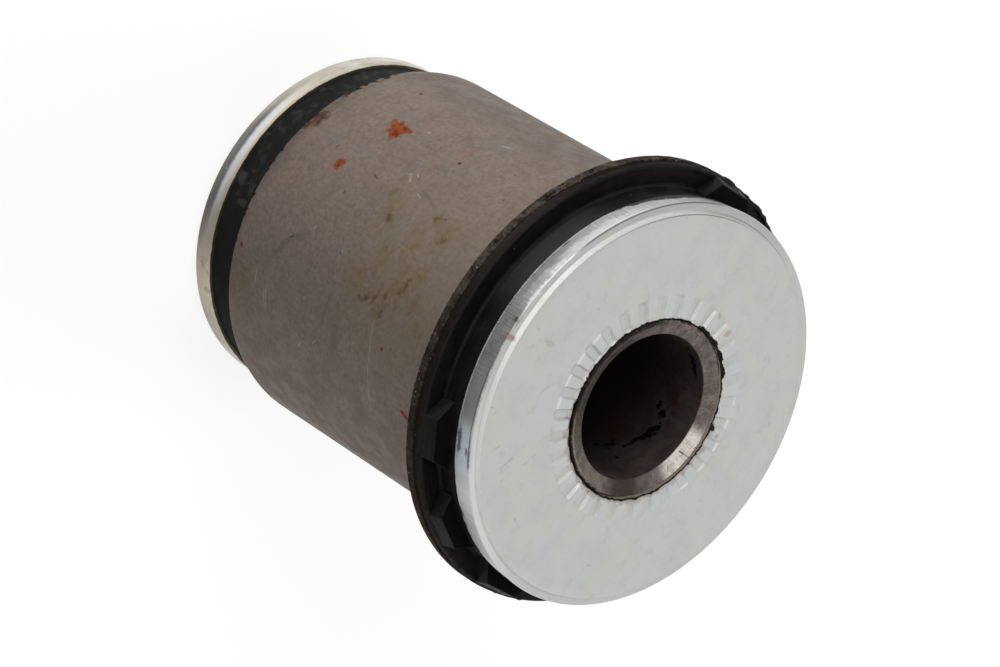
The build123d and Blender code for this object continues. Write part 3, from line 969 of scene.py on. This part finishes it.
color = layers((0.72, 0.74, 0.745), [
    ((0.74, 0.735, 0.69), clouds, 1),
    ((0.64, 0.66, 0.67), cloudsToo, 0.5),
    ((0.8, 0.8, 0.78), fine, 0.22),
    ((0.6, 0.6, 0.56), smudge, 0.45),
    ((0.28, 0.27, 0.24), faceSpecks, 0.55),
    ((0.4, 0.38, 0.33), faceMarks, 0.32),
    ((0.76, 0.8, 0.83), tops, 0.3),
    ((0.55, 0.56, 0.55), floors, 0.08),
    # painted shade on the teeth's sides
    ((0.34, 0.34, 0.33), steps, 0.16),
    ((0.97, 0.98, 0.98), paintedToothEndHighlight, 0.8),
    ((0.12, 0.12, 0.118), paintedCreaseShade, 0.75),
    # painted shade on the band and the bevel on the upper side, painted highlights on the lower
    # side
    ((0.52, 0.53, 0.53), both(band, arc(165, 232, 14)), 0.6),
    ((0.96, 0.97, 0.95), both(band, arc(296, 346, 12)), 0.75),
    ((0.42, 0.42, 0.41), both(slope, arc(150, 200, 14)), 0.75),
    ((0.95, 0.96, 0.95), both(slope, arc(272, 310, 14)), 0.75),
    (wallColor, wall, 1),
    # painted shade on the ridge from 194 to 243 degrees, then painted highlights under it and on it
    # from 219 to 299, broken into dashes by nicks
    ((0.07, 0.07, 0.07), both(ridge, arc(194, 243, 4)), 0.8),
    ((0.92, 0.93, 0.93), both(underRidge, arc(219, 240, 4)), 0.75),
    ((0.92, 0.93, 0.93), both(ridge, arc(245.5, 265, 1.5)), 0.95),
    ((0.95, 0.96, 0.96), both(paintedBurrHighlight, spread(sheared, 0.1, 0.6, 0.3, 1)), 0.95),
    ((0.92, 0.93, 0.93), both(ridge, both(nicks, arc(274, 299, 2))), 0.9),
    ((0.1, 0.1, 0.1), underNicks, 0.7),
    ((0.07, 0.07, 0.07), both(spread(reach, 25.02, 25.1), knocks), 0.75),
    ((0.16, 0.135, 0.11), insideGap, 0.9),
    ((0.42, 0.3, 0.17), stain, 0.45),
    ((0.34, 0.25, 0.18), halo, 0.4),
    ((0.012, 0.009, 0.008), dirty, 1),
    ((0.36, 0.22, 0.13), rustStreak, 0.6),
])
endFinish(front, shader, color, roughness, [
    (fine, 0.008), (clouds, 0.03), (both(sheared, wall), 0.04), (dirty, 0.05)
])


# Rear washer

rearWasher = {"hole": 11.08, "holeEdge": 0.35, "rimRound": 0.95, "edge": 0.1, "columns": 480}
rear = turnPiece("rearWasher", rearWasher["columns"], [
    (rearWasher["hole"], rearFace + rearWasher["holeEdge"]),
    (rearWasher["hole"] + rearWasher["holeEdge"], rearFace),
    (rearRadius, rearFace, 5), (rearRadius, rearInner, 3), (rearWasher["hole"], rearInner),
])
roundRing(rear, (rearRadius, rearFace), rearWasher["rimRound"], 8)
roundRing(rear, (rearRadius, rearInner), rearWasher["edge"], 2)
fitPiece(rear, "rear_washer")

shader, reach, height = startFinish("yellowedZinc", 0.85, 0.1)
fuzz = someMottle(0.9, 6.2, 0.2, 0.8, 4)
clouds = someMottle(5, 2, 0.35, 0.65, 3)
streaks = someGrain(4, 0.3, 0.7, 3, turnSize=9, heightSize=0.5, reachSize=2.5)
unevenHeight = plus(height, fuzz, 0.2)
# painted dark reflection: a bluish band on the rim from 247 to 292 degrees, and a darker band below
# it from 254 to 296
bluish = both(between(unevenHeight, 1.35, 2, 0.32), arc(247, 292, 9))
paintedLowRimReflection = both(spread(unevenHeight, 1.7, 1.2), arc(254, 296, 12))
greenish = someMottle(2.2, 71, 0.52, 0.66, 3)
yellowBand = both(spread(height, rearInner - 0.7, rearInner - 0.3), arc(200, 300, 10))
edgeDirt = spread(plus(height, fuzz, -0.1), rearInner - 0.16, rearInner - 0.06)
roughness = spread(streaks, 0, 1, 0.32, 0.48)
color = layers((0.6, 0.56, 0.46), [
    ((0.7, 0.68, 0.62), clouds, 1),
    ((0.46, 0.42, 0.31), streaks, 0.5),
    # painted cream and bluish-white highlights high on the rim; from 300 to 324 degrees the
    # yellowed zinc is lighter as a painted highlight
    ((0.95, 0.92, 0.85), both(between(height, 1.9, 3.3, 0.35), arc(238, 276, 12)), 0.85),
    ((0.56, 0.46, 0.3), yellowBand, 0.45),
    ((0.85, 0.9, 0.98), both(between(height, 1.9, 2.6, 0.3), arc(250, 286, 8)), 0.7),
    ((1, 0.9, 0.68), arc(300, 324, 9), 0.8),
    ((0.38, 0.36, 0.31), both(arc(190, 211, 9), spread(height, 1.8, 2.6)), 0.6),
    ((0.11, 0.135, 0.17), bluish, 0.85),
    ((0.15, 0.135, 0.12), paintedLowRimReflection, 0.7),
    ((0.33, 0.34, 0.33), spread(height, 0.75, 0.35), 0.5),
    ((0.36, 0.36, 0.28), both(greenish, either(arc(202, 232, 10), arc(296, 330, 8))), 0.5),
    ((0.06, 0.034, 0.015), edgeDirt, 0.85),
    ((0.88, 0.85, 0.8), someSpecks(0.9, 0.12, 0.2, 81), 0.6),
    ((0.3, 0.26, 0.2), someSpecks(1.8, 0.12, 0.35, 2), 0.6),
])
endFinish(rear, shader, color, roughness, [(streaks, 0.01), (fuzz, 0.006)])


# Floor, light and camera

stageLook = {
    "floorSize": 3, "floorDiffuse": 0.25, "floorGlow": 0.8, "floorBounce": 0.3,
    "worldShown": 1, "worldMirrored": 0.67, "worldLight": 0.34,
    "sides": 0.6, "brightSide": 0.32, "darkSide": 0.52, "dullSide": 0.25,
}
lamps = {    # azimuth, height, distance, size, power, and whether metal mirrors it
    "keyLamp": (226, 18, 0.9, 1, 8, False),
    "rimLamp": (252, 14, 0.9, 1, 1.6, True),
    "lowLamp": (15, 12, 0.9, 0.7, 2.6, False),
    "backLamp": (110, 35, 0.9, 0.7, 4, False),
}
# how bright the room looks low down, for metal to mirror: light on one side and dark in front
room, taken, given = startGroup("room", {"x": 0, "y": 0}, "value")
compass = reckon("WRAP", reckon("DEGREES", reckon("ARCTAN2", taken["y"], taken["x"])), 360, 0)
roomValue = plus(stageLook["sides"], between(compass, 178, 228, 26), stageLook["brightSide"])
roomValue = plus(roomValue, between(compass, 274, 326, 28), -stageLook["darkSide"])
roomValue = plus(roomValue, between(compass, 96, 138, 14), -stageLook["dullSide"])
feed(given["value"], roomValue)

bpy.ops.object.select_all(action="DESELECT")
bpy.ops.mesh.primitive_plane_add(size=stageLook["floorSize"], location=(0, 0, 0))
floor = bpy.context.object
floor.name = "floor"
paper = bpy.data.materials.new("palePaper")
paper.use_nodes = True
paper.node_tree.nodes.clear()
now["tree"] = paper.node_tree
lightPath = addNode("LightPath").outputs
seen = reckon("MAXIMUM", lightPath["Is Camera Ray"], lightPath["Is Glossy Ray"])
bounce = addNode("BsdfDiffuse", {"Color": (stageLook["floorBounce"],) * 3}).outputs[0]
shown = addNode("BsdfDiffuse", {"Color": (stageLook["floorDiffuse"],) * 3}).outputs[0]
axes = addNode("SeparateXYZ", {0: addNode("TexCoord").outputs["Object"]}).outputs
mirrored = useGroup(room, x=axes[0], y=axes[1])["value"]
glowing = shift(stageLook["floorGlow"], mirrored, lightPath["Is Glossy Ray"])
glow = addNode("Emission", {"Strength": glowing}).outputs[0]
sight = addNode("AddShader", {0: shown, 1: glow}).outputs[0]
surface = addNode("MixShader", {0: seen, 1: bounce, 2: sight}).outputs[0]
addNode("OutputMaterial", {"Surface": surface})
floor.data.materials.append(paper)

world = bpy.data.worlds.new("studio")
scene = bpy.context.scene
scene.world = world
world.use_nodes = True
now["tree"] = world.node_tree
lightPath = addNode("LightPath").outputs
axes = addNode("SeparateXYZ", {0: addNode("TexCoord").outputs["Generated"]}).outputs
low = useGroup(room, x=axes[0], y=axes[1])["value"]
mirrored = shift(reckon("ADD", low, 0.2), stageLook["worldMirrored"], spread(axes[2], 0, 0.16))
strength = shift(stageLook["worldLight"], mirrored, lightPath["Is Glossy Ray"])
strength = shift(strength, stageLook["worldShown"], lightPath["Is Camera Ray"])
background = world.node_tree.nodes["Background"].inputs
feed(background["Color"], (1, 1, 1))
feed(background["Strength"], strength)

for name, (azimuth, height, distance, size, power, mirrored) in lamps.items():
    around, up = math.radians(azimuth), math.radians(height)
    aim = Vector((math.cos(around) * math.cos(up), math.sin(around) * math.cos(up), math.sin(up)))
    lamp = bpy.data.lights.new(name, "AREA")
    lamp.shape = "DISK"
    lamp.size = size
    lamp.energy = power
    holder = bpy.data.objects.new(name, lamp)
    scene.collection.objects.link(holder)
    holder.location = Vector((0, 0, 0.035)) + aim * distance
    holder.rotation_euler = aim.to_track_quat("Z", "Y").to_euler()
    holder.visible_glossy = mirrored

view = {
    "place": (0, -0.40138, 0.41603), "lens": 167.71,
    "right": (-0.52338, 0.58828, 0.61644), "up": (-0.85209, -0.35911, -0.38075),
    "ahead": (0.00262, 0.72455, -0.68922),
}
camera = bpy.data.objects.new("camera", bpy.data.cameras.new("camera"))
scene.collection.objects.link(camera)
camera.data.sensor_width = 36
camera.data.lens = view["lens"]
camera.data.clip_start = 0.01
camera.data.clip_end = 20
turn = Matrix((view["right"], view["up"], [-x for x in view["ahead"]])).transposed()
camera.matrix_world = Matrix.Translation(view["place"]) @ turn.to_4x4()
scene.camera = camera
scene.view_settings.view_transform = "Standard"
print("stage done")
